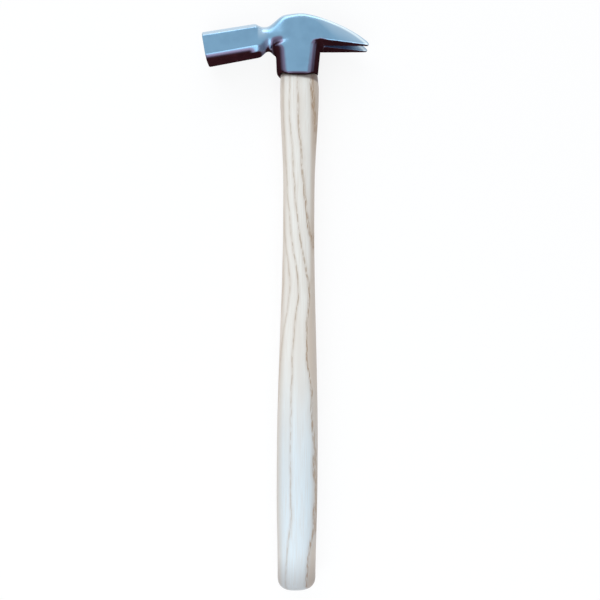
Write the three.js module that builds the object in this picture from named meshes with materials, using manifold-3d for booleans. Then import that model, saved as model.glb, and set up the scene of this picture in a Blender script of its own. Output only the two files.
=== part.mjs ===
// A farrier's driving hammer: a forged claw head with an octagonal poll, on a long ash handle.
// It is drawn upright, with the butt of the handle at height zero: X runs from the poll (minus) to
// the claws (plus), Y through the thickness and Z up the handle. At the end it is laid on its side.
import * as THREE from 'three';
import { mergeVertices } from 'three/addons/utils/BufferGeometryUtils.js';
import Module from 'manifold-3d';

const wasm = await Module();
wasm.setup();

// Driving dimensions, in millimetres and degrees. A drop on the head is measured down from its crown,
// and a drop on the handle down from the rim of the head.
const overallLength = 345;
const cutOverrun = 6;

// Head: poll and neck
const faceReach = 57.2;
const pollDroop = 10.2;
const pollAxisDrop = 8.6;
const faceAcross = 17.5;
const facePlanThick = 17.1;
const pollEndAcross = 16.9;
const pollEndThick = 16.3;
const pollCornerLeg = 3.1;
const faceBevel = 0.5;
const facetLength = 31.8;
const facetRunOut = 1.9;
const neckReach = 20.6;
const neckHigh = 13.9;
const neckThick = 14.3;

// Head: body round the eye
const bodyThick = 23.2;
const bodyCornerRadius = 3.2;
const bodyCornerEnd = 2;
const bodyLowCorner = 3.4;
const bodyLowCornerStart = 5;
const bodyLowCornerEnd = 14.5;
const shoulderStart = 19.4;
const shoulderEnd = 9.8;
const cheekStart = 7.8;
const crownSag = 0.5;
const bodyLowDrop = 16.6;
const cheekLowDrop = 18;

// Head: claws
const clawReach = 41.4;
const clawBackStart = 2;
const clawThroatDrop = 15.9;
const clawTipDrop = 17.6;
const clawNoseHigh = 1.5;
const clawNoseLength = 1.1;
const clawPlanStart = 9.6;
const clawTipSpread = 12.6;
const clawLowCorner = 0.7;
const clawTopCornerAtTip = 1.4;
const slotRoot = 15.2;
const slotRootWidth = 1.5;
const slotMouthWidth = 8.4;
const slotWallAngle = 7;

// Head: tapered socket that grips the handle
const rimDrop = 33.6;
const lipDrop = 3.3;
const lipPower = 3;
const rimLeft = 13.9;
const rimRight = 11.1;
const rimThick = 20.8;
const rimCornerRadius = 9.4;
const rimChamfer = 0.45;
const socketTopDrop = 10.2;
const socketFlushDrop = 12.2;
const socketTopLeft = 14.9;
const socketTopRight = 13.3;
const socketCornerRadius = 8.4;
const socketTopInset = 0.8;
const neckFilletDrop = 19.4;
const neckFilletRadius = 3.6;
const neckFilletCorner = 10;
const neckTuckReach = 8;
const clawFilletRadius = 3.4;
const clawFilletCorner = 7;

// Eye through the head
const eyeCentre = -1.4;
const eyeRimLong = 19.4;
const eyeRimWide = 15.8;
const eyeWaistLong = 17.4;
const eyeWaistWide = 12.2;
const eyeWaistDrop = 11.5;
const eyeTopLong = 18.8;
const eyeTopWide = 13.4;
const eyeClearance = 0.3;

// Handle
const buttWide = 23;
const gripWide = 24.8;
const waistWide = 18.9;
const swellWide = 23.4;
const buttThick = 18.2;
const gripThick = 19.4;
const waistThick = 15.6;
const swellThick = 18.6;
const buttHeight = 6;
const gripHeight = 60;
const gripLength = 24;
const waistLowDrop = 86.4;
const waistHighDrop = 69.4;
const swellDrop = 10.4;
const shoulderHigh = 8;
const shoulderWide = 22.6;
const shoulderThick = 18.1;
const shoulderShift = 0.35;
const shoulderRound = 0.8;
const shoulderGap = 0.3;
const buttRoundHigh = 6.4;
const buttRoundWide = 6.2;
const buttSlant = 1.6;
const ovalPower = 2.25;
const tenonDrop = 1.2;
const kerfDepth = 23;
const kerfTopWide = 2.9;
const kerfLowWide = 1.5;

// Wedges
const wedgeClearance = 0.3;
const woodWedgeDepth = 20;
const woodWedgeProud = 0.5;
const steelWedgeWide = 9;
const steelWedgeTopThick = 2.2;
const steelWedgeTipThick = 0.9;
const steelWedgeDepth = 11;
const steelWedgeBarb = 0.25;
const steelWedgeSteps = 4;
const steelWedgePlaces = [-5.6, 2.8];

// Facet counts
const cornerSteps = 6;
const ovalSteps = 48;
const clawBackSteps = 80;

// Heights that follow from the drops
const pollAxisHeight = overallLength - pollAxisDrop;
const bodyLowHeight = overallLength - bodyLowDrop;
const cheekLowHeight = overallLength - cheekLowDrop;
const clawThroatHeight = overallLength - clawThroatDrop;
const clawTipHeight = overallLength - clawTipDrop;
const rimHeight = overallLength - rimDrop;
const socketTopHeight = overallLength - socketTopDrop;
const socketFlushHeight = overallLength - socketFlushDrop;
const neckFilletHeight = overallLength - neckFilletDrop;
const eyeWaistHeight = overallLength - eyeWaistDrop;
const tenonTop = overallLength - tenonDrop;
const wedgeTop = tenonTop + woodWedgeProud;

const radians = THREE.MathUtils.degToRad;
const lerp = THREE.MathUtils.lerp;

// 0 to 1 with level ends, over the stretch from low to high
function ease(value, low, high) {
  return THREE.MathUtils.smoothstep(value, low, high);
}

function share(value, low, high) {
  return THREE.MathUtils.clamp((value - low) / (high - low), 0, 1);
}

// A share that starts level and is nearly straight for the rest of the way
const softStartShare = 0.1;

function softShare(value, low, high) {
  const way = share(value, low, high);
  return way * way * (1 + softStartShare) / (way + softStartShare);
}

// Skin a row of rings that all hold the same number of points, and close both ends with a fan
function loft(rings) {
  const count = rings[0].length;
  const positions = rings.flatMap((ring) => ring.flatMap((point) => point.toArray()));
  const indices = [];
  for (let row = 0; row < rings.length - 1; row += 1) {
    for (let place = 0; place < count; place += 1) {
      const next = (place + 1) % count;
      const low = row * count;
      const high = low + count;
      indices.push(low + place, low + next, high + next, low + place, high + next, high + place);
    }
  }
  for (const row of [0, rings.length - 1]) {
    const centre = rings[row].reduce((sum, point) => sum.add(point), new THREE.Vector3());
    centre.divideScalar(count);
    const hub = positions.length / 3;
    positions.push(...centre.toArray());
    for (let place = 0; place < count; place += 1) {
      const here = row * count + place;
      const next = row * count + ((place + 1) % count);
      indices.push(...(row === 0 ? [hub, next, here] : [hub, here, next]));
    }
  }
  const geometry = new THREE.BufferGeometry();
  geometry.setAttribute('position', new THREE.Float32BufferAttribute(positions, 3));
  geometry.setIndex(signedVolume(positions, indices) < 0 ? indices.reverse() : indices);
  return geometry;
}

function signedVolume(positions, indices) {
  const corner = (index) => new THREE.Vector3().fromArray(positions, index * 3);
  let total = 0;
  for (let place = 0; place < indices.length; place += 3) {
    const [first, second, third] = indices.slice(place, place + 3).map(corner);
    total += first.dot(second.cross(third)) / 6;
  }
  return total;
}

// Manifold solids in and out of three.js geometry
function toSolid(geometry) {
  const bare = geometry.clone();
  bare.deleteAttribute('normal');
  bare.deleteAttribute('uv');
  const merged = mergeVertices(bare);
  return new wasm.Manifold(new wasm.Mesh({
    numProp: 3,
    vertProperties: new Float32Array(merged.attributes.position.array),
    triVerts: new Uint32Array(merged.index.array),
  }));
}

function toGeometry(solid) {
  const mesh = solid.getMesh();
  const geometry = new THREE.BufferGeometry();
  geometry.setAttribute('position', new THREE.BufferAttribute(mesh.vertProperties, 3));
  geometry.setIndex(new THREE.BufferAttribute(mesh.triVerts, 1));
  geometry.computeVertexNormals();
  return geometry;
}

// A four-sided section with its corners cut off: round 0 gives flat corner facets, 1 gives arcs.
// It comes as pairs of places across and up, anticlockwise from the lower right, and so do its cuts.
function corneredSection({ left, right, up, down, cuts, round }) {
  const corners = [
    { across: right, along: -down, size: cuts[0], start: -90 },
    { across: right, along: up, size: cuts[1], start: 0 },
    { across: -left, along: up, size: cuts[2], start: 90 },
    { across: -left, along: -down, size: cuts[3], start: 180 },
  ];
  return corners.flatMap(({ across, along, size, start }) => {
    const hubAcross = across - Math.sign(across) * size;
    const hubAlong = along - Math.sign(along) * size;
    const spoke = (angle) => [
      hubAcross + size * Math.cos(radians(angle)),
      hubAlong + size * Math.sin(radians(angle)),
    ];
    const first = spoke(start);
    const last = spoke(start + 90);
    return Array.from({ length: cornerSteps + 1 }, (_, step) => {
      const way = step / cornerSteps;
      const arc = spoke(start + 90 * way);
      return arc.map((value, axis) => lerp(lerp(first[axis], last[axis], way), value, round));
    });
  });
}

// One ring of the forged bar: the section stands across the bar's own axis, which leans by tilt
function barRing({ x, centre, up, down, half, topCorner, lowCorner, round, tilt }) {
  const cuts = [lowCorner, topCorner, topCorner, lowCorner];
  const section = corneredSection({ left: half, right: half, up, down, cuts, round });
  return section.map(([across, along]) => new THREE.Vector3(
    x - along * Math.sin(radians(tilt)),
    across,
    centre + along * Math.cos(radians(tilt)),
  ));
}

// Poll: flat facets from the bevelled face to the run-out, where they round off into the neck
function pollRings() {
  const droop = radians(pollDroop);
  const runEnd = facetLength + facetRunOut;
  const neckAlong = (faceReach - neckReach) / Math.cos(droop);
  const faceCentre = pollAxisHeight - faceReach * Math.tan(droop);
  const facetPlaces = [0, faceBevel, facetLength];
  const runOutShares = [0.25, 0.5, 0.75, 1];
  const neckShares = [0.15, 0.3, 0.45, 0.6, 0.75, 0.9];
  const places = [
    ...facetPlaces,
    ...runOutShares.map((part) => facetLength + facetRunOut * part),
    ...neckShares.map((part) => lerp(runEnd, neckAlong, part)),
  ];
  return places.map((along) => {
    const bevelCut = faceBevel * (1 - share(along, 0, faceBevel));
    const taper = share(along, 0, facetLength);
    const runOut = share(along, facetLength, runEnd);
    const waist = ease(along, facetLength, neckAlong);
    const high = lerp(lerp(faceAcross, pollEndAcross, taper), neckHigh, waist) / 2 - bevelCut;
    const half = lerp(lerp(facePlanThick, pollEndThick, taper), neckThick, waist) / 2 - bevelCut;
    const corner = lerp(pollCornerLeg, Math.min(high, half), Math.max(waist, runOut * runOut / 2));
    return barRing({
      x: along * Math.cos(droop) - faceReach,
      centre: faceCentre + along * Math.sin(droop),
      up: high,
      down: high,
      half,
      topCorner: corner,
      lowCorner: corner,
      round: Math.sin(runOut * Math.PI / 2),
      tilt: pollDroop,
    });
  });
}

// Height of the head's top line at a place between the neck and the claw tips. The curve's two
// handles stand at shares of the way out to the tips and down to them.
const clawBackShares = [[0.25, 0.1], [0.73, 0.39]];
const clawBackPoints = new THREE.CubicBezierCurve(
  new THREE.Vector2(clawBackStart, overallLength),
  ...clawBackShares.map(([out, down]) => new THREE.Vector2(
    lerp(clawBackStart, clawReach, out),
    lerp(overallLength, clawTipHeight, down),
  )),
  new THREE.Vector2(clawReach, clawTipHeight + clawNoseHigh),
).getPoints(clawBackSteps);

function topHeight(x) {
  const neckTop = pollAxisHeight - neckReach * Math.tan(radians(pollDroop)) + neckHigh / 2;
  if (x < clawBackStart) {
    const crown = overallLength - crownSag * ((clawBackStart - x) / (clawBackStart + shoulderEnd)) ** 2;
    return lerp(neckTop, crown, ease(x, -shoulderStart, -shoulderEnd));
  }
  const after = clawBackPoints.findIndex((point) => point.x >= x);
  const high = clawBackPoints[Math.max(after, 1)];
  const low = clawBackPoints[Math.max(after, 1) - 1];
  return lerp(low.y, high.y, share(x, low.x, high.x));
}

function lowHeight(x) {
  const neckLow = pollAxisHeight - neckReach * Math.tan(radians(pollDroop)) - neckHigh / 2;
  const underBody = lerp(neckLow, bodyLowHeight, ease(x, -neckReach, 0));
  const underClaws = lerp(clawThroatHeight, clawTipHeight, share(x, clawPlanStart, clawReach));
  return lerp(underBody, underClaws, ease(x, 0, clawPlanStart));
}

// Body and claws: the round neck swells to flat cheeks, then the bar thins to the claw tips
function bodyRings() {
  const neckShares = [0, 0.08, 0.18, 0.28, 0.38, 0.48, 0.58, 0.68, 0.78, 0.88, 1];
  const crownShares = [0.2, 0.4, 0.6, 0.8, 1];
  const clawShares = [0.06, 0.12, 0.2, 0.3, 0.4, 0.5, 0.6, 0.7, 0.8, 0.88, 0.94, 1];
  const noseStart = clawReach - clawNoseLength;
  const places = [
    ...neckShares.map((part) => lerp(-neckReach, -cheekStart, part)),
    ...crownShares.map((part) => lerp(-cheekStart, clawPlanStart, part)),
    ...clawShares.map((part) => lerp(clawPlanStart, noseStart, part)),
  ];
  const rings = places.map((x) => {
    const swell = ease(x, -neckReach, -cheekStart);
    const swellTop = ease(x, -neckReach, bodyCornerEnd);
    const narrowing = softShare(x, clawPlanStart, clawReach);
    const half = lerp(lerp(neckThick, bodyThick, swell), clawTipSpread, narrowing) / 2;
    const top = topHeight(x);
    const low = lowHeight(x);
    const neckCorner = Math.min(neckHigh, neckThick) / 2;
    const topCorner = lerp(lerp(neckCorner, bodyCornerRadius, swellTop), clawTopCornerAtTip, narrowing);
    const bodyCorner = lerp(neckCorner, bodyLowCorner, ease(x, -shoulderStart, 0));
    const lowCorner = lerp(bodyCorner, clawLowCorner, ease(x, bodyLowCornerStart, bodyLowCornerEnd));
    const high = (top - low) / 2;
    return barRing({
      x,
      centre: (top + low) / 2,
      up: high,
      down: high,
      half,
      topCorner: Math.min(topCorner, high),
      lowCorner: Math.min(lowCorner, high),
      round: 1,
      tilt: pollDroop * (1 - ease(x, -neckReach, -shoulderEnd)),
    });
  });
  rings.push(noseRing());
  return rings;
}

// Blunt nose of the claws
function noseRing() {
  const high = clawNoseHigh / 2;
  return barRing({
    x: clawReach,
    centre: clawTipHeight + high,
    up: high / 2,
    down: high / 2,
    half: clawTipSpread / 2 - clawLowCorner,
    topCorner: high / 4,
    lowCorner: high / 4,
    round: 1,
    tilt: 0,
  });
}

// How far the rim hangs below its own sides at a place through the thickness: a lip on each cheek
function lipAt(place) {
  return lipDrop * (Math.abs(place) / (rimThick / 2)) ** lipPower;
}

// How far a fillet of this radius stands out at a height below the surface that it runs into
function flare(height, surface, radius) {
  const reach = share(height, surface - radius, surface);
  return radius * (1 - Math.sqrt(1 - reach * reach));
}

// Socket: an oval-cornered sleeve that tapers down to the rim and flares where it meets neck and claws
function socketRings() {
  const eyeShare = eyeRimWide / rimThick;
  const heightShares = [0.06, 0.2, 0.32, 0.42, 0.49, 0.54, 0.58, 0.61, 0.66, 0.72, 0.76, 0.91, 1];
  const rims = [
    { height: rimHeight, inset: rimChamfer },
    { height: rimHeight + rimChamfer, inset: 0 },
    ...heightShares.map((part) => ({ height: lerp(rimHeight, socketTopHeight, part), inset: 0 })),
  ];
  const rings = rims.map(({ height, inset }) => {
    const rise = share(height, rimHeight, socketTopHeight);
    const neckCurve = flare(height, neckFilletHeight, neckFilletRadius);
    const clawCurve = flare(height, clawThroatHeight, clawFilletRadius);
    const swell = Math.sin(share(height, rimHeight, cheekLowHeight) * Math.PI / 2);
    const half = lerp(rimThick, bodyThick, swell) / 2;
    const buried = inset + socketTopInset * share(height, socketFlushHeight, socketTopHeight);
    const corner = lerp(rimCornerRadius, socketCornerRadius, rise) - inset;
    const neckCorner = lerp(corner, neckFilletCorner, neckCurve / neckFilletRadius);
    const clawCorner = lerp(corner, clawFilletCorner, clawCurve / clawFilletRadius);
    const neckTuck = neckTuckReach * share(height, neckFilletHeight, socketTopHeight);
    const section = corneredSection({
      left: lerp(rimLeft, socketTopLeft, rise) + neckCurve - neckTuck - inset,
      right: lerp(rimRight, socketTopRight, rise) + clawCurve - inset,
      up: half - buried,
      down: half - buried,
      cuts: [clawCorner, clawCorner, neckCorner, neckCorner],
      round: 1,
    });
    const droop = 1 - share(height, rimHeight, neckFilletHeight);
    return section.map(([across, along]) => new THREE.Vector3(across, along, height - droop * lipAt(along)));
  });
  const underside = rings[0].map((point) => new THREE.Vector3(
    lerp(eyeCentre, point.x, eyeShare),
    point.y * eyeShare,
    rimHeight - lipAt(point.y * eyeShare),
  ));
  return [underside, ...rings];
}

// Superellipse ring of the eye or of the handle
function ovalRing({ x, z, long, wide, slant }) {
  return Array.from({ length: ovalSteps }, (_, step) => {
    const angle = 2 * Math.PI * step / ovalSteps;
    const cosine = Math.cos(angle);
    const sine = Math.sin(angle);
    const along = Math.sign(cosine) * Math.abs(cosine) ** (2 / ovalPower) * long / 2;
    const across = Math.sign(sine) * Math.abs(sine) ** (2 / ovalPower) * wide / 2;
    return new THREE.Vector3(x + along, across, z + along * Math.tan(radians(slant)));
  });
}

// Eye: widest at the rim, pinched at the waist and opened again at the crown for the wedges.
// grow is minus the clearance when the same form cuts the tenon.
function eyeRings(grow, lowest, highest) {
  const placeShares = [0.15, 0.3, 0.45, 0.6, 0.75, 0.9, 1];
  const riseTo = (low, high) => placeShares.map((part) => lerp(low, high, part));
  const heights = [
    lowest,
    rimHeight,
    ...riseTo(rimHeight, eyeWaistHeight),
    ...riseTo(eyeWaistHeight, overallLength),
    highest,
  ];
  return heights.map((z) => {
    const below = 1 - ease(z, rimHeight, eyeWaistHeight);
    const above = share(z, eyeWaistHeight, overallLength);
    const long = eyeWaistLong + (eyeRimLong - eyeWaistLong) * below + (eyeTopLong - eyeWaistLong) * above;
    const wide = eyeWaistWide + (eyeRimWide - eyeWaistWide) * below + (eyeTopWide - eyeWaistWide) * above;
    return ovalRing({ x: eyeCentre, z, long: long + 2 * grow, wide: wide + 2 * grow, slant: 0 });
  });
}

// V-slot between the claws: a round root, and walls that open towards the back of the claws
function slotSolid() {
  const halfAngle = Math.atan((slotMouthWidth - slotRootWidth) / 2 / (clawReach - slotRoot));
  const rootRadius = slotRootWidth / 2;
  const outline = (height) => {
    const spread = (height - clawThroatHeight) * Math.tan(radians(slotWallAngle));
    const reach = clawReach + cutOverrun;
    const mouth = rootRadius + spread + (reach - slotRoot) * Math.tan(halfAngle);
    const arc = Array.from({ length: 2 * cornerSteps + 1 }, (_, step) => {
      const angle = radians(lerp(270, 90, step / (2 * cornerSteps)));
      return [slotRoot + rootRadius * Math.cos(angle), (rootRadius + spread) * Math.sin(angle)];
    });
    return [[reach, -mouth], ...arc, [reach, mouth]].map(([x, y]) => new THREE.Vector3(x, y, height));
  };
  const lowest = clawTipHeight - slotRootWidth;
  return toSolid(loft([outline(lowest), outline(overallLength)]));
}

function headSolid() {
  const bar = toSolid(loft([...pollRings(), ...bodyRings()]));
  const socket = toSolid(loft(socketRings()));
  const eye = toSolid(loft(eyeRings(0, rimHeight - lipDrop - cutOverrun, overallLength + cutOverrun)));
  return bar.add(socket).subtract(eye).subtract(slotSolid());
}

// Handle: widths and thicknesses at the places that name them, joined by a smooth curve
const handlePlaces = [
  [0, buttWide, buttThick],
  [buttHeight, buttWide, buttThick],
  [gripHeight, gripWide, gripThick],
  [gripHeight + gripLength, gripWide, gripThick],
  [rimHeight - waistLowDrop, waistWide, waistThick],
  [rimHeight - waistHighDrop, waistWide, waistThick],
  [rimHeight - swellDrop, swellWide, swellThick],
];

function handleSize(height, column) {
  const after = Math.max(1, handlePlaces.findIndex((place) => place[0] >= height));
  const low = handlePlaces[after - 1];
  const high = handlePlaces[after];
  return lerp(low[column], high[column], ease(height, low[0], high[0]));
}

// Stave below the shoulder: a rounded butt, then the long curve to the swell under the socket
function staveRings() {
  const buttAngles = [10, 25, 40, 55, 70, 90];
  const shaftShares = [0.03, 0.06, 0.1, 0.14, 0.18, 0.22, 0.27, 0.32, 0.37, 0.42, 0.47, 0.52, 0.57,
    0.62, 0.66, 0.7, 0.75, 0.79, 0.83, 0.87, 0.91, 0.94, 0.97, 1];
  const butt = buttAngles.map((angle) => {
    const height = buttRoundHigh * (1 - Math.cos(radians(angle)));
    const inset = buttRoundWide * (1 - Math.sin(radians(angle)));
    return handleRing(height, inset, buttSlant * Math.cos(radians(angle)));
  });
  const shaft = shaftShares.map((part) => handleRing(lerp(buttRoundHigh, rimHeight - swellDrop, part), 0, 0));
  return [...butt, ...shaft];
}

function handleRing(height, inset, slant) {
  return ovalRing({
    x: 0,
    z: height,
    long: handleSize(height, 1) - 2 * inset,
    wide: handleSize(height, 2) - 2 * inset,
    slant,
  });
}

// Shoulder: the swell rounds over and seats under the rim, whose lips it follows
function shoulderRings() {
  const turnAngles = [0, 30, 60, 90];
  const top = rimHeight - shoulderGap;
  const swell = ovalRing({
    x: 0,
    z: rimHeight - shoulderHigh,
    long: swellWide,
    wide: swellThick,
    slant: 0,
  });
  const full = ovalRing({
    x: -shoulderShift,
    z: 0,
    long: shoulderWide,
    wide: shoulderThick,
    slant: 0,
  });
  const seat = ovalRing({
    x: eyeCentre,
    z: 0,
    long: eyeRimLong - 2 * eyeClearance,
    wide: eyeRimWide - 2 * eyeClearance,
    slant: 0,
  });
  const turned = turnAngles.map((angle) => full.map((point) => {
    const inward = point.clone().setLength(shoulderRound * (1 - Math.cos(radians(angle))));
    const low = shoulderRound * (1 - Math.sin(radians(angle)));
    return new THREE.Vector3(point.x - inward.x, point.y - inward.y, top - low - lipAt(point.y));
  }));
  return [swell, ...turned, seat.map((point) => new THREE.Vector3(point.x, point.y, top - lipAt(point.y)))];
}

function tenonRings() {
  const isInside = (ring) => ring[0].z > rimHeight && ring[0].z <= tenonTop;
  return eyeRings(-eyeClearance, rimHeight, tenonTop).filter(isInside);
}

// Kerf sawn down the tenon, and the wedge that fills it: the same tapered slip, less the clearance
function slipSolid({ depth, topWide, lowWide, long, top }) {
  const box = (z, wide) => [[-1, -1], [1, -1], [1, 1], [-1, 1]].map(
    ([across, along]) => new THREE.Vector3(eyeCentre + across * long / 2, along * wide / 2, z),
  );
  const slope = (topWide - lowWide) / depth;
  return toSolid(loft([box(tenonTop - depth, lowWide), box(top, topWide + slope * (top - tenonTop))]));
}

// Barbed steel wedge, driven across the wooden one
function steelWedgeSolid(place) {
  const half = (depth) => lerp(steelWedgeTopThick, steelWedgeTipThick, depth / steelWedgeDepth) / 2;
  const side = [];
  for (let step = 0; step < steelWedgeSteps; step += 1) {
    const from = steelWedgeDepth * step / steelWedgeSteps;
    const to = steelWedgeDepth * (step + 1) / steelWedgeSteps;
    side.push([half(from), wedgeTop - from], [half(to) - steelWedgeBarb, wedgeTop - to]);
  }
  const outline = [...side, ...side.toReversed().map(([x, z]) => [-x, z])];
  const shape = new THREE.Shape(outline.map(([x, z]) => new THREE.Vector2(x + place, z)));
  const geometry = new THREE.ExtrudeGeometry(shape, { depth: steelWedgeWide, bevelEnabled: false });
  geometry.rotateX(Math.PI / 2);
  geometry.translate(0, steelWedgeWide / 2, 0);
  return toSolid(geometry);
}

// Clear slot for a steel wedge, smooth sided and open at the top
function steelWedgeSlot(place) {
  const top = overallLength + cutOverrun;
  const low = wedgeTop - steelWedgeDepth - wedgeClearance;
  const ring = (z, thick) => [[-1, -1], [1, -1], [1, 1], [-1, 1]].map(([across, along]) => new THREE.Vector3(
    place + across * (thick / 2 + wedgeClearance),
    along * (steelWedgeWide / 2 + wedgeClearance),
    z,
  ));
  return toSolid(loft([ring(low, steelWedgeTipThick), ring(top, steelWedgeTopThick)]));
}

function handleSolid() {
  const stave = toSolid(loft([...staveRings(), ...shoulderRings(), ...tenonRings()]));
  const kerf = slipSolid({
    depth: kerfDepth,
    topWide: kerfTopWide,
    lowWide: kerfLowWide,
    long: eyeTopLong + cutOverrun,
    top: overallLength + cutOverrun,
  });
  return steelWedgePlaces.reduce((rest, place) => rest.subtract(steelWedgeSlot(place)), stave.subtract(kerf));
}

function woodWedgeSolid() {
  const slip = slipSolid({
    depth: woodWedgeDepth,
    topWide: kerfTopWide - 2 * wedgeClearance,
    lowWide: kerfLowWide - wedgeClearance,
    long: eyeWaistLong - 2 * eyeClearance,
    top: wedgeTop,
  });
  return steelWedgePlaces.reduce((rest, place) => rest.subtract(steelWedgeSlot(place)), slip);
}

// Materials and meshes
const steel = { color: '#9fb0bf', roughness: 0.28, metalness: 1 };
const ash = { color: '#e2d6c0', roughness: 0.55, metalness: 0 };
const beech = { color: '#c79c6b', roughness: 0.7, metalness: 0 };
const blackSteel = { color: '#6d7074', roughness: 0.45, metalness: 1 };

function named(name, geometry, look) {
  const mesh = new THREE.Mesh(geometry, new THREE.MeshStandardMaterial(look));
  mesh.name = name;
  return mesh;
}

const upright = new THREE.Group();
upright.add(
  named('head', toGeometry(headSolid()), steel),
  named('handle', toGeometry(handleSolid()), ash),
  named('wood_wedge', toGeometry(woodWedgeSolid()), beech),
  named('steel_wedge_front', toGeometry(steelWedgeSolid(steelWedgePlaces[0])), blackSteel),
  named('steel_wedge_rear', toGeometry(steelWedgeSolid(steelWedgePlaces[1])), blackSteel),
);

// Laid on its side: the handle along +Y, the hammer resting on a cheek of the head and on the grip
const layAngle = Math.atan((bodyThick - gripThick) / 2 / (clawThroatHeight - gripHeight));
upright.rotation.x = -Math.PI / 2 + layAngle;

const hammer = new THREE.Group();
hammer.add(upright);
hammer.updateMatrixWorld(true);
const box = new THREE.Box3().setFromObject(hammer, true);
const middle = box.getCenter(new THREE.Vector3());
upright.position.set(-middle.x, -middle.y, -box.min.z);

export default hammer;
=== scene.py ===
import math

import bmesh
import bpy
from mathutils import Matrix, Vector


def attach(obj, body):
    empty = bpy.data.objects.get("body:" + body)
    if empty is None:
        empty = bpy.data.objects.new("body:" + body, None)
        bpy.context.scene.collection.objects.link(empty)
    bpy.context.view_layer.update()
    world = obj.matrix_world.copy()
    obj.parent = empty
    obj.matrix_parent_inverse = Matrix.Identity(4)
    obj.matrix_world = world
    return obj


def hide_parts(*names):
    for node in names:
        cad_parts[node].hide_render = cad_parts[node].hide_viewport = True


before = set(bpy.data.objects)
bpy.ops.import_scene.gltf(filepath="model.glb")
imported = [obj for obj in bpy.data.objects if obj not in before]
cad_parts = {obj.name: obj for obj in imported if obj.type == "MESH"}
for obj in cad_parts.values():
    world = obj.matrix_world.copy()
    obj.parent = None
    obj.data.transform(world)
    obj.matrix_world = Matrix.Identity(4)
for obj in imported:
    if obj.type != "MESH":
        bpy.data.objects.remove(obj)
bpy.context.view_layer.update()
scene = bpy.context.scene
scene.view_settings.view_transform = "Standard"


# Camera: it looks straight down on the hammer lying on its side, from about an arm's length, above
# the middle of the handle. That is why the head is seen a little from the handle's side.
camera_height = 0.400
head_middle_height = 0.0117
view_width = 0.3633
sensor_width = 36.0
camera_across = 0.0097
camera_along = 0.002634
camera_roll = math.radians(0.36)
nearest_seen = 0.01

camera_data = bpy.data.cameras.new("camera")
camera_data.sensor_width = sensor_width
camera_data.lens = sensor_width * camera_height / view_width
camera_data.clip_start = nearest_seen
camera = bpy.data.objects.new("camera", camera_data)
camera.location = (camera_across, camera_along, head_middle_height + camera_height)
camera.rotation_euler = (0.0, 0.0, camera_roll)
scene.collection.objects.link(camera)
scene.camera = camera


# Floor and light: a sheet of white paper in a pale tent, whose roof is faintly blue and whose sides and
# end towards the butt are dimmer. The camera and reflections see the tent plain white. A wide soft lamp
# hangs over the butt, and a long low panel beyond the head gives its crown a bright edge.
floor_half = 4.0
floor_mesh = bpy.data.meshes.new("floor")
shape = bmesh.new()
bmesh.ops.create_grid(shape, x_segments=1, y_segments=1, size=floor_half)
shape.to_mesh(floor_mesh)
shape.free()
floor = bpy.data.objects.new("floor", floor_mesh)
scene.collection.objects.link(floor)


def linear(code):
    """An sRGB hex colour as linear red, green, blue and alpha."""
    parts = [int(code[place:place + 2], 16) / 255 for place in (1, 3, 5)]
    return [v / 12.92 if v <= 0.04045 else ((v + 0.055) / 1.055) ** 2.4 for v in parts] + [1.0]


def add_node(tree, kind, settings, inputs):
    """Adds a node and sets it. Each of its inputs named here gets a value or another node's output."""
    node = tree.nodes.new(kind)
    for name, value in settings.items():
        setattr(node, name, value)
    for place, value in inputs.items():
        if isinstance(value, bpy.types.NodeSocket):
            tree.links.new(value, node.inputs[place])
        else:
            node.inputs[place].default_value = value
    return node


def seen_directly(tree):
    """1 for what the camera, a reflection or glass sees, and 0 for light that falls on matt surfaces."""
    ray = add_node(tree, "ShaderNodeLightPath", {}, {})
    seen = ray.outputs["Is Camera Ray"]
    for kind in ("Is Glossy Ray", "Is Transmission Ray"):
        seen = add_node(tree, "ShaderNodeMath", {"operation": "MAXIMUM"},
                        {0: seen, 1: ray.outputs[kind]}).outputs[0]
    return seen


def new_material(name):
    """A material with its node tree and its Principled shader."""
    material = bpy.data.materials.new(name)
    material.use_nodes = True
    return material, material.node_tree, material.node_tree.nodes["Principled BSDF"]


# Matt white paper, which scatters light evenly and shows no gloss. It is lit from below as well, as on
# a light table, so that shadows stay pale. That glow is only for what sees the paper, not for the part.
paper, tree, shader = new_material("white_paper")
glow_share = 0.85
shader.inputs["Base Color"].default_value = linear("#fbfbfb")
shader.inputs["Roughness"].default_value = 0.9
shader.inputs["Specular IOR Level"].default_value = 0.0
glow_part = add_node(tree, "ShaderNodeMath", {"operation": "MULTIPLY"},
                     {0: seen_directly(tree), 1: glow_share})
glow = add_node(tree, "ShaderNodeEmission", {}, {"Color": linear("#ffffff"), "Strength": 1.0})
both = add_node(tree, "ShaderNodeMixShader", {}, {
    0: glow_part.outputs[0], 1: shader.outputs[0], 2: glow.outputs[0]})
tree.links.new(both.outputs[0], tree.nodes["Material Output"].inputs["Surface"])
floor_mesh.materials.append(paper)

# The tent: plain cotton, pale grey at its foot and on its walls and faintly blue overhead. Only light
# that falls on matt surfaces takes its colour. Each heading below is where dimming starts and ends.
tent_foot = linear("#dedede")
tent_wall = linear("#dcdddf")
tent_roof = linear("#d6e0e9")
wall_top = 0.25
roof_start = 0.8
end_share = 0.6
end_heading = (-0.9, 0.1)
side_share = 0.5
side_heading = (0.25, 0.90)
eased = {"interpolation_type": "SMOOTHSTEP"}
world = bpy.data.worlds.new("tent")
world.use_nodes = True
scene.world = world
tree = world.node_tree
direction = add_node(tree, "ShaderNodeTexCoord", {}, {})
heading = add_node(tree, "ShaderNodeSeparateXYZ", {}, {0: direction.outputs["Generated"]})
cloth = add_node(tree, "ShaderNodeValToRGB", {}, {0: heading.outputs["Z"]})
cloth.color_ramp.elements[0].color = tent_foot
cloth.color_ramp.elements[1].color = tent_roof
cloth.color_ramp.elements[1].position = roof_start
cloth.color_ramp.elements.new(wall_top).color = tent_wall
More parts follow.
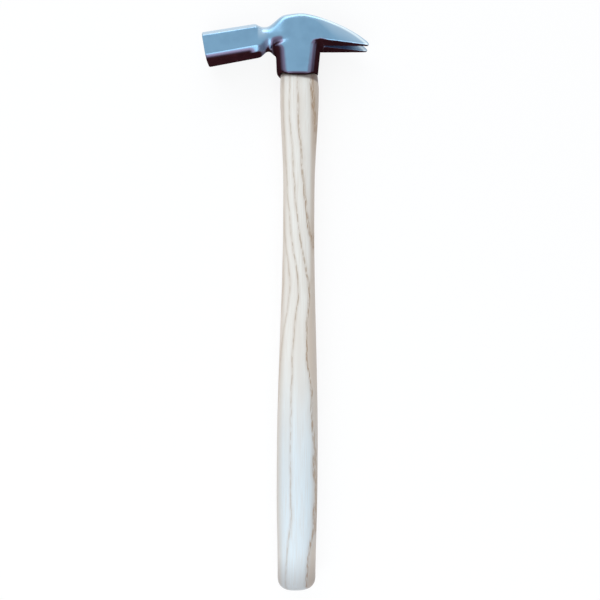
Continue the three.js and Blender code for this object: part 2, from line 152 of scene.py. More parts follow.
end_dimming = add_node(tree, "ShaderNodeMapRange", eased, {
    0: heading.outputs["Y"], 1: end_heading[0], 2: end_heading[1], 3: end_share, 4: 1.0})
aside = add_node(tree, "ShaderNodeMath", {"operation": "ABSOLUTE"}, {0: heading.outputs["X"]})
side_dimming = add_node(tree, "ShaderNodeMapRange", eased, {
    0: aside.outputs[0], 1: side_heading[0], 2: side_heading[1], 3: 1.0, 4: side_share})
dimming = add_node(tree, "ShaderNodeMath", {"operation": "MULTIPLY"},
                   {0: end_dimming.outputs[0], 1: side_dimming.outputs[0]})
tree.links.new(cloth.outputs[0], tree.nodes["Background"].inputs["Color"])
tree.links.new(dimming.outputs[0], tree.nodes["Background"].inputs["Strength"])
plain = add_node(tree, "ShaderNodeBackground", {}, {"Color": linear("#ffffff"), "Strength": 1.0})
either = add_node(tree, "ShaderNodeMixShader", {}, {
    0: seen_directly(tree), 1: tree.nodes["Background"].outputs[0], 2: plain.outputs[0]})
tree.links.new(either.outputs[0], tree.nodes["World Output"].inputs["Surface"])

# Each lamp: its name, its width and height, its watts, where it hangs and what it faces
lamps = [("butt_lamp", 1.6, 1.1, 10.5, (-0.15, -0.85, 0.85), (0.0, 0.0, 0.0)),
         ("crown_panel", 1.8, 0.6, 7.5, (-0.35, 1.15, 0.55), (0.0, 0.16, 0.01))]
for name, width, height, watts, place, target in lamps:
    lamp = bpy.data.lights.new(name, "AREA")
    lamp.shape = "RECTANGLE"
    lamp.size = width
    lamp.size_y = height
    lamp.energy = watts
    holder = bpy.data.objects.new(name, lamp)
    holder.location = place
    holder.rotation_euler = (Vector(target) - Vector(place)).to_track_quat("-Z", "Y").to_euler()
    scene.collection.objects.link(holder)


# Head: one drop forging of carbon steel, ground and satin polished on its cheeks, crown and poll. The
# narrow sides of the socket and the faces towards the handle carry painted shade, almost black.
weld_gap = 1e-6
head_voxel = 0.00038
head_smoothing = 6
smooth_pull = 0.5
neck_zone = (-0.0145, 0.0050)
blend_passes = 24
blend_growth = 0.00012
node_body = "root"

rough_head = bpy.data.meshes.new("rough_head")
shape = bmesh.new()
shape.from_mesh(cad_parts["head"].data)
bmesh.ops.remove_doubles(shape, verts=shape.verts, dist=weld_gap)
shape.to_mesh(rough_head)
shape.free()
head = bpy.data.objects.new("forged_head", rough_head)
scene.collection.objects.link(head)
remesh = head.modifiers.new("remesh", "REMESH")
remesh.mode = "VOXEL"
remesh.voxel_size = head_voxel
soften = head.modifiers.new("soften", "SMOOTH")
soften.factor = smooth_pull
soften.iterations = head_smoothing
graph = bpy.context.evaluated_depsgraph_get()
smooth_head = bpy.data.meshes.new_from_object(head.evaluated_get(graph))
head.modifiers.clear()
head.data = smooth_head

# The forging's neck runs into the cheeks and the socket without an edge
shape = bmesh.new()
shape.from_mesh(smooth_head)
for step in range(blend_passes):
    grown = blend_growth * step
    zone = [vert for vert in shape.verts if neck_zone[0] - grown < vert.co.x < neck_zone[1] + grown]
    bmesh.ops.smooth_vert(shape, verts=zone, factor=smooth_pull, use_axis_x=True, use_axis_y=True,
                          use_axis_z=True)
shape.to_mesh(smooth_head)
shape.free()
smooth_head.shade_smooth()

# Satin-polished carbon steel: cool and bluish, with soft-edged reflections and faint polish marks that
# run along the head. The painted shade is a black-brown colour with no metal in it, so it is no mirror
# and reads almost black. Where the two meet, a violet painted shade grades between them, and in the
# slot a blue one. The crown and the upper facets of the poll are paler: a painted highlight.
steel, tree, shader = new_material("satin_polished_steel")
polished_steel = linear("#7aa2c0")
polish_shade = linear("#739ab8")
violet_painted_shade = linear("#6a6680")
highlight_steel = linear("#bdd3e4")
edge_highlight = linear("#dcedf7")
blue_painted_shade = linear("#2f3d58")
painted_shade_dark = linear("#2a1418")
painted_shade_cloud = linear("#34191f")
shader.inputs["Specular IOR Level"].default_value = 0.0
in_millimetres = (1000, 1000, 1000)
spot = add_node(tree, "ShaderNodeTexCoord", {}, {})
place = add_node(tree, "ShaderNodeMapping", {}, {0: spot.outputs["Object"], 3: in_millimetres})
parts = add_node(tree, "ShaderNodeSeparateXYZ", {}, {0: place.outputs[0]})
facing = add_node(tree, "ShaderNodeSeparateXYZ", {}, {0: spot.outputs["Normal"]})

# Painted shade on the faces turned towards the handle. From here on, two limits in brackets are where
# a mark starts and where it is full.
handle_turn = (-0.70, -0.96)
handleward = add_node(tree, "ShaderNodeMapRange", eased, {
    0: facing.outputs["Y"], 1: handle_turn[0], 2: handle_turn[1]})

# Painted shade on the poll's lower facets: the bar's axis droops, and heights are taken square to it
poll_droop = math.radians(10.2)
poll_axis = 159.8
facet_drop = (5.1, 8.3)
poll_across = (-16.5, -22.0)
poll_up = add_node(tree, "ShaderNodeVectorMath", {"operation": "DOT_PRODUCT"},
                   {0: place.outputs[0], 1: (-math.sin(poll_droop), math.cos(poll_droop), 0.0)})
below_facet = add_node(tree, "ShaderNodeMapRange", eased, {
    0: poll_up.outputs["Value"], 1: poll_axis - facet_drop[0], 2: poll_axis - facet_drop[1]})
on_poll = add_node(tree, "ShaderNodeMapRange", eased, {
    0: parts.outputs["X"], 1: poll_across[0], 2: poll_across[1]})
poll_shade = add_node(tree, "ShaderNodeMath", {"operation": "MULTIPLY"},
                     {0: below_facet.outputs[0], 1: on_poll.outputs[0]})

# Painted shade on the rim, which comes in over the last two millimetres of the cheeks
rim_top = 138.2
rim_blend = 2.1
on_rim = add_node(tree, "ShaderNodeMapRange", eased, {
    0: parts.outputs["Y"], 1: rim_top, 2: rim_top - rim_blend})

# Painted shade on the narrow sides of the socket, by how steeply a face turns away from the cheeks
socket_left = -6.8
socket_right = 22.2
socket_blend = 3.0
socket_top = 160.0
side_turn = (0.22, 0.86)
level = add_node(tree, "ShaderNodeMath", {"operation": "MULTIPLY"},
                 {0: facing.outputs["Z"], 1: facing.outputs["Z"]})
rest = add_node(tree, "ShaderNodeMath", {"operation": "SUBTRACT"}, {0: 1.0, 1: level.outputs[0]})
turned = add_node(tree, "ShaderNodeMath", {"operation": "SQRT"}, {0: rest.outputs[0]})
sideways = add_node(tree, "ShaderNodeMapRange", eased, {
    0: turned.outputs[0], 1: side_turn[0], 2: side_turn[1]})
from_left = add_node(tree, "ShaderNodeMapRange", eased, {
    0: parts.outputs["X"], 1: socket_left - socket_blend, 2: socket_left})
from_right = add_node(tree, "ShaderNodeMapRange", eased, {
    0: parts.outputs["X"], 1: socket_right + socket_blend, 2: socket_right})
below_body = add_node(tree, "ShaderNodeMapRange", eased, {
    0: parts.outputs["Y"], 1: socket_top, 2: socket_top - socket_blend})
socket_shade = sideways
for limit in (from_left, from_right, below_body):
    socket_shade = add_node(tree, "ShaderNodeMath", {"operation": "MULTIPLY"},
                           {0: socket_shade.outputs[0], 1: limit.outputs[0]})

# Painted shade under the neck: less metallic than the rest, with some of the violet painted shade
under_turn = (-0.10, -0.45)
dulled_most = 0.8
neck_from_poll = (-17.0, -15.5)
neck_from_body = (-9.0, -11.0)
neck_shade_share = 0.30
neck_under = add_node(tree, "ShaderNodeMapRange", eased, {
    0: facing.outputs["Y"], 1: under_turn[0], 2: under_turn[1], 3: 0.0, 4: dulled_most})
on_neck = add_node(tree, "ShaderNodeMapRange", eased, {
    0: parts.outputs["X"], 1: neck_from_poll[0], 2: neck_from_poll[1]})
off_body = add_node(tree, "ShaderNodeMapRange", eased, {
    0: parts.outputs["X"], 1: neck_from_body[0], 2: neck_from_body[1]})
neck_dulled = neck_under
for limit in (on_neck, off_body):
    neck_dulled = add_node(tree, "ShaderNodeMath", {"operation": "MULTIPLY"},
                       {0: neck_dulled.outputs[0], 1: limit.outputs[0]})
neck_shade = add_node(tree, "ShaderNodeMath", {"operation": "MULTIPLY"},
                     {0: neck_dulled.outputs[0], 1: neck_shade_share})

# All the painted shade together
painted_shade_share = handleward
for shade_part in (poll_shade, on_rim, socket_shade, neck_shade):
    painted_shade_share = add_node(tree, "ShaderNodeMath", {"operation": "MAXIMUM"},
                          {0: painted_shade_share.outputs[0], 1: shade_part.outputs[0]})

# Blue painted shade on the walls of the slot, which fades towards the tips of the claws
slot_root = 23.8
slot_root_half = 0.75
slot_opening = 0.132
slot_middle = 11.65
off_wall = (0.9, 0.4)
root_blend = 0.5
tips_along = (12.0, 27.0)
tip_share = 0.25
slot_along = add_node(tree, "ShaderNodeMath", {"operation": "SUBTRACT"},
                      {0: parts.outputs["X"], 1: slot_root})
slot_half = add_node(tree, "ShaderNodeMath", {"operation": "MULTIPLY_ADD"},
                     {0: slot_along.outputs[0], 1: slot_opening, 2: slot_root_half})
aside = add_node(tree, "ShaderNodeMath", {"operation": "SUBTRACT"},
                 {0: parts.outputs["Z"], 1: slot_middle})
off_middle = add_node(tree, "ShaderNodeMath", {"operation": "ABSOLUTE"}, {0: aside.outputs[0]})
past_wall = add_node(tree, "ShaderNodeMath", {"operation": "SUBTRACT"},
                     {0: off_middle.outputs[0], 1: slot_half.outputs[0]})
on_wall = add_node(tree, "ShaderNodeMapRange", eased, {
    0: past_wall.outputs[0], 1: off_wall[0], 2: off_wall[1]})
past_root = add_node(tree, "ShaderNodeMapRange", eased, {
    0: slot_along.outputs[0], 1: -root_blend, 2: root_blend})
fading = add_node(tree, "ShaderNodeMapRange", eased, {
    0: slot_along.outputs[0], 1: tips_along[0], 2: tips_along[1], 3: 1.0, 4: tip_share})
slot_shade_share = on_wall
for limit in (past_root, fading):
    slot_shade_share = add_node(tree, "ShaderNodeMath", {"operation": "MULTIPLY"},
                          {0: slot_shade_share.outputs[0], 1: limit.outputs[0]})

# A painted highlight along the crown, in a band that is wider over the claws. Its outline runs from the
# neck to the tips, each point by how far across and how far up it is.
crown_line = [(-16, 175), (-12, 168), (-9, 167), (-5, 170), (-2, 171.6), (2, 172.5), (16, 172.2),
              (23, 170.4), (30, 168), (38, 164.5), (45, 160.3), (50, 156.5)]
line_from = (-20.0, 150.0)
line_span = (72.0, 25.0)
line_last = 155.0
band_across = (14.0, 32.0)
band_drop = (4.5, 11.0)
crown_most = 0.75
along = add_node(tree, "ShaderNodeMapRange", {}, {
    0: parts.outputs["X"], 1: line_from[0], 2: line_from[0] + line_span[0]})
outline = add_node(tree, "ShaderNodeFloatCurve", {}, {"Value": along.outputs[0]})
curve = outline.mapping.curves[0]
stations = [(line_from[0], crown_line[0][1]), *crown_line, (line_from[0] + line_span[0], line_last)]
while len(curve.points) < len(stations):
    curve.points.new(0.5, 0.5)
for point, (across, up) in zip(curve.points, stations):
    point.location = ((across - line_from[0]) / line_span[0], (up - line_from[1]) / line_span[1])
outline.mapping.update()
crown_up = add_node(tree, "ShaderNodeMapRange", {}, {
    0: outline.outputs[0], 3: line_from[1], 4: line_from[1] + line_span[1]})
crown_drop = add_node(tree, "ShaderNodeMath", {"operation": "SUBTRACT"},
                      {0: crown_up.outputs[0], 1: parts.outputs["Y"]})
band = add_node(tree, "ShaderNodeMapRange", eased, {
    0: parts.outputs["X"], 1: band_across[0], 2: band_across[1], 3: band_drop[0], 4: band_drop[1]})
drop_share = add_node(tree, "ShaderNodeMath", {"operation": "DIVIDE"},
                      {0: crown_drop.outputs[0], 1: band.outputs[0]})
crown_highlight = add_node(tree, "ShaderNodeMapRange", {}, {
    0: drop_share.outputs[0], 3: crown_most, 4: 0.0})

# A painted highlight in a line just below the claws' backs, which runs to the tips
claws_across = (17.0, 25.0)
back_drop = (1.0, 2.0)
cheek_drop = (3.8, 2.3)
on_claws = add_node(tree, "ShaderNodeMapRange", eased, {
    0: parts.outputs["X"], 1: claws_across[0], 2: claws_across[1]})
below_back = add_node(tree, "ShaderNodeMapRange", eased, {
    0: crown_drop.outputs[0], 1: back_drop[0], 2: back_drop[1]})
above_cheek = add_node(tree, "ShaderNodeMapRange", eased, {
    0: crown_drop.outputs[0], 1: cheek_drop[0], 2: cheek_drop[1]})
back_line = on_claws
for limit in (below_back, above_cheek):
    back_line = add_node(tree, "ShaderNodeMath", {"operation": "MULTIPLY"},
                         {0: back_line.outputs[0], 1: limit.outputs[0]})

# A painted highlight on the neck too, on the poll's side of its waist and on its upper half
highlight_across = (-9.0, -13.5)
highlight_up = (156.0, 163.0)
neck_most = 0.5
neck_highlight = add_node(tree, "ShaderNodeMapRange", eased, {
    0: parts.outputs["X"], 1: highlight_across[0], 2: highlight_across[1], 3: 0.0, 4: neck_most})
upper_neck = add_node(tree, "ShaderNodeMapRange", eased, {
    0: parts.outputs["Y"], 1: highlight_up[0], 2: highlight_up[1]})
for limit in (on_neck, upper_neck):
    neck_highlight = add_node(tree, "ShaderNodeMath", {"operation": "MULTIPLY"},
                           {0: neck_highlight.outputs[0], 1: limit.outputs[0]})

# Colours, laid over one another, with cloudy changes of some 8 mm: the painted highlights and the
# painted shades go over the polished steel
cloud_scale = 0.12
cloud_span = (0.35, 0.75)
crown_turn = (0.15, 0.75)
shade_starts = 0.4
clouds = add_node(tree, "ShaderNodeTexNoise", {},
                  {0: place.outputs[0], "Scale": cloud_scale, "Detail": 2.0})
cloudy = add_node(tree, "ShaderNodeMapRange", eased, {
    0: clouds.outputs[0], 1: cloud_span[0], 2: cloud_span[1]})
bright = add_node(tree, "ShaderNodeMix", {"data_type": "RGBA"},
                  {0: cloudy.outputs[0], 6: polished_steel, 7: polish_shade})
# The painted shade's own colour, cloudy
shade_colour = add_node(tree, "ShaderNodeMix", {"data_type": "RGBA"},
                {0: cloudy.outputs[0], 6: painted_shade_dark, 7: painted_shade_cloud})
# Painted highlight on the faces turned towards the crown
crownward = add_node(tree, "ShaderNodeMapRange", eased, {
    0: facing.outputs["Y"], 1: crown_turn[0], 2: crown_turn[1]})
highlight_share = crownward
for share in (crown_highlight, neck_highlight):
    highlight_share = add_node(tree, "ShaderNodeMath", {"operation": "MAXIMUM"},
                     {0: highlight_share.outputs[0], 1: share.outputs[0]})
highlighted = add_node(tree, "ShaderNodeMix", {"data_type": "RGBA"},
                  {0: highlight_share.outputs[0], 6: bright.outputs[2], 7: highlight_steel})
edge_highlighted = add_node(tree, "ShaderNodeMix", {"data_type": "RGBA"},
                 {0: back_line.outputs[0], 6: highlighted.outputs[2], 7: edge_highlight})
slot_shaded = add_node(tree, "ShaderNodeMix", {"data_type": "RGBA"},
                   {0: slot_shade_share.outputs[0], 6: edge_highlighted.outputs[2], 7: blue_painted_shade})
# Violet painted shade where the painted shade begins, then the painted shade itself
near_shade = add_node(tree, "ShaderNodeMapRange", eased, {
    0: painted_shade_share.outputs[0], 1: 0.0, 2: shade_starts})
violet_shaded = add_node(tree, "ShaderNodeMix", {"data_type": "RGBA"},
                  {0: near_shade.outputs[0], 6: slot_shaded.outputs[2], 7: violet_painted_shade})
in_shade = add_node(tree, "ShaderNodeMapRange", eased, {
    0: painted_shade_share.outputs[0], 1: shade_starts, 2: 1.0})
coloured = add_node(tree, "ShaderNodeMix", {"data_type": "RGBA"},
                    {0: in_shade.outputs[0], 6: violet_shaded.outputs[2], 7: shade_colour.outputs[2]})
tree.links.new(coloured.outputs[2], shader.inputs["Base Color"])
dull = in_shade
for share in (slot_shade_share, neck_dulled):
    dull = add_node(tree, "ShaderNodeMath", {"operation": "MAXIMUM"},
                    {0: dull.outputs[0], 1: share.outputs[0]})
metallic = add_node(tree, "ShaderNodeMapRange", {}, {0: dull.outputs[0], 3: 1.0, 4: 0.0})
tree.links.new(metallic.outputs[0], shader.inputs["Metallic"])

# Polish marks: real ones are finer than 0.1 mm, and these are drawn 0.3 mm wide so that they show
marks_per_mm = (0.25, 3.0, 3.0)
polish_roughness = 0.29
dull_roughness = 0.42
mark_depth = 0.06
marks_place = add_node(tree, "ShaderNodeMapping", {}, {0: place.outputs[0], 3: marks_per_mm})
marks = add_node(tree, "ShaderNodeTexNoise", {},
                 {0: marks_place.outputs[0], "Scale": 1.0, "Detail": 2.0})
dulling = add_node(tree, "ShaderNodeMapRange", {},
                   {0: dull.outputs[0], 3: polish_roughness, 4: dull_roughness})
roughness = add_node(tree, "ShaderNodeMath", {"operation": "MULTIPLY_ADD"},
                     {0: marks.outputs[0], 1: mark_depth, 2: dulling.outputs[0]})
tree.links.new(roughness.outputs[0], shader.inputs["Roughness"])
smooth_head.materials.clear()
smooth_head.materials.append(steel)
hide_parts("head")
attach(head, node_body)


# Handle: turned and sanded ash, left pale under a thin clear finish. Its tenon is driven up into the
# eye of the head, and its shoulder seats under the rim.
def smooth_shading(piece, limit):
    """Welds a CAD node's loose triangles and shades them smooth, but for edges sharper than limit."""
    group = bpy.data.node_groups.new(piece.name + "_shading", "GeometryNodeTree")
    group.interface.new_socket("Mesh", in_out="INPUT", socket_type="NodeSocketGeometry")
    group.interface.new_socket("Mesh", in_out="OUTPUT", socket_type="NodeSocketGeometry")
    start = add_node(group, "NodeGroupInput", {}, {})
    weld = add_node(group, "GeometryNodeMergeByDistance", {},
                    {"Geometry": start.outputs[0], "Distance": weld_gap})
    angle = add_node(group, "GeometryNodeInputMeshEdgeAngle", {}, {})
    soft = add_node(group, "FunctionNodeCompare", {"operation": "LESS_THAN"},
                    {0: angle.outputs["Unsigned Angle"], 1: limit})
    faces = add_node(group, "GeometryNodeSetShadeSmooth", {"domain": "FACE"},
                     {"Geometry": weld.outputs[0], "Shade Smooth": True})
    edges = add_node(group, "GeometryNodeSetShadeSmooth", {"domain": "EDGE"},
                     {"Geometry": faces.outputs[0], "Shade Smooth": soft.outputs[0]})
    add_node(group, "NodeGroupOutput", {}, {0: edges.outputs[0]})
    piece.modifiers.new("shading", "NODES").node_group = group


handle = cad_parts["handle"]
handle_edge = math.radians(32)
smooth_shading(handle, handle_edge)

# Ash under thin lacquer: cream sapwood, warmer on the claws' side. Its wide growth rings show as soft
# tan bands with lines of open pores, which wander down the front of the handle.
ash, tree, shader = new_material("lacquered_ash")
pale_ash = linear("#e9e7e1")
cool_sheen_ash = linear("#d1dfe7")
warm_ash_and_side_shade = linear("#c9b8a8")
pore_tan = linear("#96724a")
grime_and_shadow = linear("#5d4a44")
front_across = 8.63
front_height = 19.4
half_length = 173.0
wander_half = 10.0
ring_lean = 0.5
narrow_rings = 5.3
wide_rings = 12.5
inner_share = 0.67
wobble_half = 1.1
rings_along = (-85.0, 20.0)

# One growth line's way down the front: how far up the handle, and how far across from its middle
growth_line = [(-167, 4.9), (-152, 5.7), (-143, 6.7), (-132, 8.4), (-75, 8.1), (-45, 6.4), (-22, 4.5),
               (6, 5.3), (20, 3.9), (40, 0.4), (60, -2.0), (80, -3.7), (107, -5.3), (136, -6.0)]

spot = add_node(tree, "ShaderNodeTexCoord", {}, {})
place = add_node(tree, "ShaderNodeMapping", {}, {
    0: spot.outputs["Object"], 1: (-front_across, 0.0, -front_height), 3: in_millimetres})
parts = add_node(tree, "ShaderNodeSeparateXYZ", {}, {0: place.outputs[0]})
up_share = add_node(tree, "ShaderNodeMapRange", {}, {
    0: parts.outputs["Y"], 1: -half_length, 2: half_length})
wander = add_node(tree, "ShaderNodeFloatCurve", {}, {"Value": up_share.outputs[0]})
curve = wander.mapping.curves[0]
stations = [(-half_length, growth_line[0][1]), *growth_line, (half_length, growth_line[-1][1])]
while len(curve.points) < len(stations):
    curve.points.new(0.5, 0.5)
for point, (up, across) in zip(curve.points, stations):
    point.location = (0.5 + up / half_length / 2, 0.5 + across / wander_half / 2)
wander.mapping.update()
line_across = add_node(tree, "ShaderNodeMapRange", {}, {
    0: wander.outputs[0], 3: -wander_half, 4: wander_half})

# The rings lean through the thickness, and wobble by a millimetre every 15 or so
leaning = add_node(tree, "ShaderNodeVectorMath", {"operation": "DOT_PRODUCT"},
                   {0: place.outputs[0], 1: (1.0, 0.0, ring_lean)})
wobbles_per_mm = (0.08, 0.06, 0.08)
wobble_place = add_node(tree, "ShaderNodeMapping", {}, {0: place.outputs[0], 3: wobbles_per_mm})
wobbling = add_node(tree, "ShaderNodeTexNoise", {}, {0: wobble_place.outputs[0], "Scale": 1.0})
wobble = add_node(tree, "ShaderNodeMapRange", {}, {
    0: wobbling.outputs[0], 3: -wobble_half, 4: wobble_half})
shifted = add_node(tree, "ShaderNodeMath", {"operation": "SUBTRACT"},
                   {0: leaning.outputs["Value"], 1: line_across.outputs[0]})
from_line = add_node(tree, "ShaderNodeMath", {"operation": "ADD"},
                     {0: shifted.outputs[0], 1: wobble.outputs[0]})
spacing = add_node(tree, "ShaderNodeMapRange", eased, {
    0: parts.outputs["Y"], 1: rings_along[0], 2: rings_along[1], 3: wide_rings, 4: narrow_rings})
ring_count = add_node(tree, "ShaderNodeMath", {"operation": "DIVIDE"},
                      {0: from_line.outputs[0], 1: spacing.outputs[0]})
wider = add_node(tree, "ShaderNodeMath", {"operation": "MULTIPLY_ADD"},
                 {0: ring_count.outputs[0], 1: inner_share, 2: 1.0 - inner_share})
ring = add_node(tree, "ShaderNodeMath", {"operation": "MINIMUM"},
                {0: ring_count.outputs[0], 1: wider.outputs[0]})
ring_part = add_node(tree, "ShaderNodeMath", {"operation": "PINGPONG"}, {0: ring.outputs[0], 1: 0.5})
off_line = add_node(tree, "ShaderNodeMath", {"operation": "MULTIPLY"},
                    {0: ring_part.outputs[0], 1: spacing.outputs[0]})

# Pores: real ones are 0.2 mm wide, and these are drawn 0.5 mm wide so that they show. They run some
# 5 mm before a break, and the lines are strongest on the claws' side.
pores_per_mm = (2.0, 0.2, 2.0)
pore_span = (0.42, 0.54)
strength_across = (-10.0, 6.0)
strength_span = (0.35, 0.75)
pore_reach = (0.85, 0.15)
tan_reach = 2.0
tan_share = 0.20
pore_place = add_node(tree, "ShaderNodeMapping", {}, {0: place.outputs[0], 3: pores_per_mm})
pore_noise = add_node(tree, "ShaderNodeTexNoise", {}, {0: pore_place.outputs[0], "Scale": 1.0})
pores = add_node(tree, "ShaderNodeMapRange", eased, {
    0: pore_noise.outputs[0], 1: pore_span[0], 2: pore_span[1]})
strength = add_node(tree, "ShaderNodeMapRange", eased, {
    0: parts.outputs["X"], 1: strength_across[0], 2: strength_across[1],
    3: strength_span[0], 4: strength_span[1]})
near_line = add_node(tree, "ShaderNodeMapRange", eased, {
    0: off_line.outputs[0], 1: pore_reach[0], 2: pore_reach[1], 3: 0.0, 4: strength.outputs[0]})
pore_line = add_node(tree, "ShaderNodeMath", {"operation": "MULTIPLY"},
                     {0: near_line.outputs[0], 1: pores.outputs[0]})
soft_line = add_node(tree, "ShaderNodeMapRange", eased, {
    0: off_line.outputs[0], 1: tan_reach, 2: 0.0, 3: 0.0, 4: tan_share})
line_share = add_node(tree, "ShaderNodeMath", {"operation": "MAXIMUM"},
                      {0: soft_line.outputs[0], 1: pore_line.outputs[0]})

# Warmer wood: fibres a third of a millimetre wide, clouds 80 mm long, and the wood beyond the growth
# line on the claws' side. The handle's narrow sides take the same warm colour as painted shade.
fibres_per_mm = (2.8, 0.05, 2.8)
fibre_span = (0.35, 0.75)
fibre_share = 0.35
clouds_per_mm = (0.10, 0.012, 0.10)
wood_cloud_span = (0.4, 0.7)
wood_cloud_share = 0.30
fibre_place = add_node(tree, "ShaderNodeMapping", {}, {0: place.outputs[0], 3: fibres_per_mm})
fibre_noise = add_node(tree, "ShaderNodeTexNoise", {}, {
    0: fibre_place.outputs[0], "Scale": 1.0, "Detail": 3.0})
fibres = add_node(tree, "ShaderNodeMapRange", eased, {
    0: fibre_noise.outputs[0], 1: fibre_span[0], 2: fibre_span[1], 3: 0.0, 4: fibre_share})
cloud_place = add_node(tree, "ShaderNodeMapping", {}, {0: place.outputs[0], 3: clouds_per_mm})
cloud_noise = add_node(tree, "ShaderNodeTexNoise", {}, {0: cloud_place.outputs[0], "Scale": 1.0})
clouds = add_node(tree, "ShaderNodeMapRange", eased, {
    0: cloud_noise.outputs[0], 1: wood_cloud_span[0], 2: wood_cloud_span[1],
    3: 0.0, 4: wood_cloud_share})
edge_along = (-15.0, 15.0)
edge_across = (-20.0, 6.5)
past_line = (-1.2, 1.8)
clawward_share = 0.85
upper_edge = add_node(tree, "ShaderNodeMapRange", eased, {
    0: parts.outputs["Y"], 1: edge_along[0], 2: edge_along[1], 3: edge_across[0], 4: edge_across[1]})
past_edge = add_node(tree, "ShaderNodeMath", {"operation": "SUBTRACT"},
                     {0: parts.outputs["X"], 1: upper_edge.outputs[0]})
beyond = add_node(tree, "ShaderNodeMath", {"operation": "MINIMUM"},
                  {0: from_line.outputs[0], 1: past_edge.outputs[0]})
clawward = add_node(tree, "ShaderNodeMapRange", eased, {
    0: beyond.outputs[0], 1: past_line[0], 2: past_line[1], 3: 0.0, 4: clawward_share})
# Painted shade on the handle's narrow sides, by how far a face turns sideways
wood_side_turn = (0.36, 0.95)
side_shade_share = 0.65
facing = add_node(tree, "ShaderNodeSeparateXYZ", {}, {0: spot.outputs["Normal"]})
turned = add_node(tree, "ShaderNodeMath", {"operation": "ABSOLUTE"}, {0: facing.outputs["X"]})
side_shade = add_node(tree, "ShaderNodeMapRange", eased, {
    0: turned.outputs[0], 1: wood_side_turn[0], 2: wood_side_turn[1], 3: 0.0, 4: side_shade_share})
warmth_and_side_shade = fibres
for warmth_and_shade_part in (clouds, clawward, side_shade):
    warmth_and_side_shade = add_node(tree, "ShaderNodeMath", {"operation": "MAXIMUM"},
                          {0: warmth_and_side_shade.outputs[0], 1: warmth_and_shade_part.outputs[0]})

# A painted cool sheen towards the butt, with the warmer wood and the growth lines laid over it
sheen_along = (-10.0, -110.0)
sheen_share = 0.9
buttward = add_node(tree, "ShaderNodeMapRange", eased, {
    0: parts.outputs["Y"], 1: sheen_along[0], 2: sheen_along[1], 3: 0.0, 4: sheen_share})
sheened = add_node(tree, "ShaderNodeMix", {"data_type": "RGBA"},
                   {0: buttward.outputs[0], 6: pale_ash, 7: cool_sheen_ash})
wood = add_node(tree, "ShaderNodeMix", {"data_type": "RGBA"},
                {0: warmth_and_side_shade.outputs[0], 6: sheened.outputs[2], 7: warm_ash_and_side_shade})
grained = add_node(tree, "ShaderNodeMix", {"data_type": "RGBA"},
                   {0: line_share.outputs[0], 6: wood.outputs[2], 7: pore_tan})

# Grime from use over the butt, and painted shadow round the neck of the wood under the rim, paler up
# the tenon
butt_along = (-148.0, -172.0)
butt_grime = 0.45
rim_slope = 0.13
rim_along = (134.2, 135.8)
rim_shadow_share = 0.8
tenon_along = (142.0, 152.0)
tenon_shadow_share = 0.35
at_butt = add_node(tree, "ShaderNodeMapRange", eased, {
    0: parts.outputs["Y"], 1: butt_along[0], 2: butt_along[1], 3: 0.0, 4: butt_grime})
towards_rim = add_node(tree, "ShaderNodeVectorMath", {"operation": "DOT_PRODUCT"},
                       {0: place.outputs[0], 1: (rim_slope, 1.0, 0.0)})
under_rim_shadow = add_node(tree, "ShaderNodeMapRange", eased, {
    0: towards_rim.outputs["Value"], 1: rim_along[0], 2: rim_along[1], 3: 0.0, 4: rim_shadow_share})
up_tenon = add_node(tree, "ShaderNodeMapRange", eased, {
    0: parts.outputs["Y"], 1: tenon_along[0], 2: tenon_along[1], 3: 1.0, 4: tenon_shadow_share})
rim_shadow = add_node(tree, "ShaderNodeMath", {"operation": "MINIMUM"},
                      {0: under_rim_shadow.outputs[0], 1: up_tenon.outputs[0]})
grime_and_shadow_share = add_node(tree, "ShaderNodeMath", {"operation": "MAXIMUM"},
                 {0: at_butt.outputs[0], 1: rim_shadow.outputs[0]})
soiled_and_shaded = add_node(tree, "ShaderNodeMix", {"data_type": "RGBA"},
                  {0: grime_and_shadow_share.outputs[0], 6: grained.outputs[2], 7: grime_and_shadow})
tree.links.new(soiled_and_shaded.outputs[2], shader.inputs["Base Color"])
shader.inputs["Roughness"].default_value = 0.42
pore_depth = 0.0001
dent_strength = 0.25
filled = add_node(tree, "ShaderNodeMath", {"operation": "SUBTRACT"}, {0: 1.0, 1: pore_line.outputs[0]})
dents = add_node(tree, "ShaderNodeBump", {}, {
    "Height": filled.outputs[0], "Strength": dent_strength, "Distance": pore_depth})
tree.links.new(dents.outputs[0], shader.inputs["Normal"])
handle.data.materials.clear()
handle.data.materials.append(ash)


# Wooden wedge: a tapered slip split from dry beech. It is driven down the kerf sawn in the tenon,
# spreads the wood in the eye, and is cut off just proud of the tenon's end.
wood_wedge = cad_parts["wood_wedge"]
wedge_edge = math.radians(20)
smooth_shading(wood_wedge, wedge_edge)

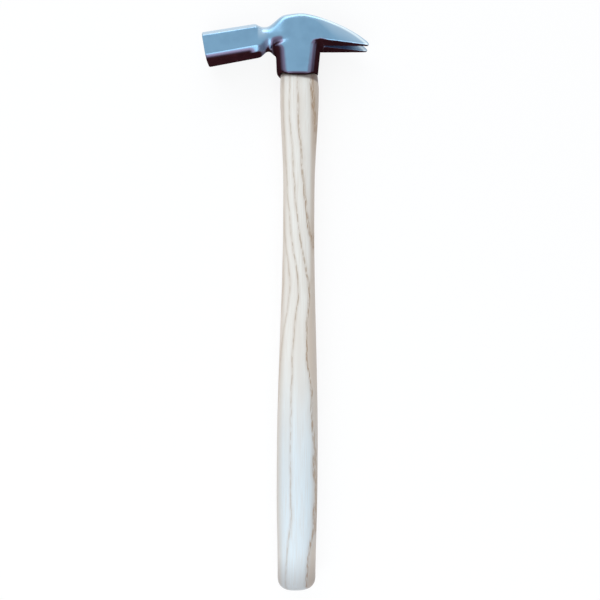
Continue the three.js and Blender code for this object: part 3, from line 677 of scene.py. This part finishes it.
# Bare beech: an even pinkish brown, flecked with short darker rays half a millimetre wide
beech, tree, shader = new_material("bare_beech")
beech_brown = linear("#b98f63")
beech_fleck = linear("#8d6239")
flecks_per_m = (2000, 600, 2000)
fleck_span = (0.5, 0.68)
spot = add_node(tree, "ShaderNodeTexCoord", {}, {})
fleck_place = add_node(tree, "ShaderNodeMapping", {}, {0: spot.outputs["Object"], 3: flecks_per_m})
fleck_noise = add_node(tree, "ShaderNodeTexNoise", {}, {0: fleck_place.outputs[0], "Scale": 1.0})
flecks = add_node(tree, "ShaderNodeMapRange", eased, {
    0: fleck_noise.outputs[0], 1: fleck_span[0], 2: fleck_span[1]})
flecked = add_node(tree, "ShaderNodeMix", {"data_type": "RGBA"},
                   {0: flecks.outputs[0], 6: beech_brown, 7: beech_fleck})
tree.links.new(flecked.outputs[2], shader.inputs["Base Color"])
shader.inputs["Roughness"].default_value = 0.65
wood_wedge.data.materials.clear()
wood_wedge.data.materials.append(beech)


# Steel wedges: two small wedges cut from mild steel bar, with barbed steps on their faces that grip the
# wood. They are driven in last, across the wooden wedge: the front one nearer the poll, the rear one
# nearer the claws.

# Mild steel as rolled: its dark grey scale is rubbed brighter in patches of some 1.5 mm, and it is
# fairly rough
mill_steel, tree, shader = new_material("rolled_mild_steel")
mill_scale = linear("#4b4c50")
rubbed_steel = linear("#85878b")
rubs_per_m = (700, 700, 700)
rub_span = (0.45, 0.7)
spot = add_node(tree, "ShaderNodeTexCoord", {}, {})
rub_place = add_node(tree, "ShaderNodeMapping", {}, {0: spot.outputs["Object"], 3: rubs_per_m})
rub_noise = add_node(tree, "ShaderNodeTexNoise", {}, {0: rub_place.outputs[0], "Scale": 1.0})
rubbed = add_node(tree, "ShaderNodeMapRange", eased, {
    0: rub_noise.outputs[0], 1: rub_span[0], 2: rub_span[1]})
mottled = add_node(tree, "ShaderNodeMix", {"data_type": "RGBA"},
                   {0: rubbed.outputs[0], 6: mill_scale, 7: rubbed_steel})
tree.links.new(mottled.outputs[2], shader.inputs["Base Color"])
shader.inputs["Metallic"].default_value = 1.0
shader.inputs["Roughness"].default_value = 0.48
for name in ("steel_wedge_front", "steel_wedge_rear"):
    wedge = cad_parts[name]
    smooth_shading(wedge, wedge_edge)
    wedge.data.materials.clear()
    wedge.data.materials.append(mill_steel)
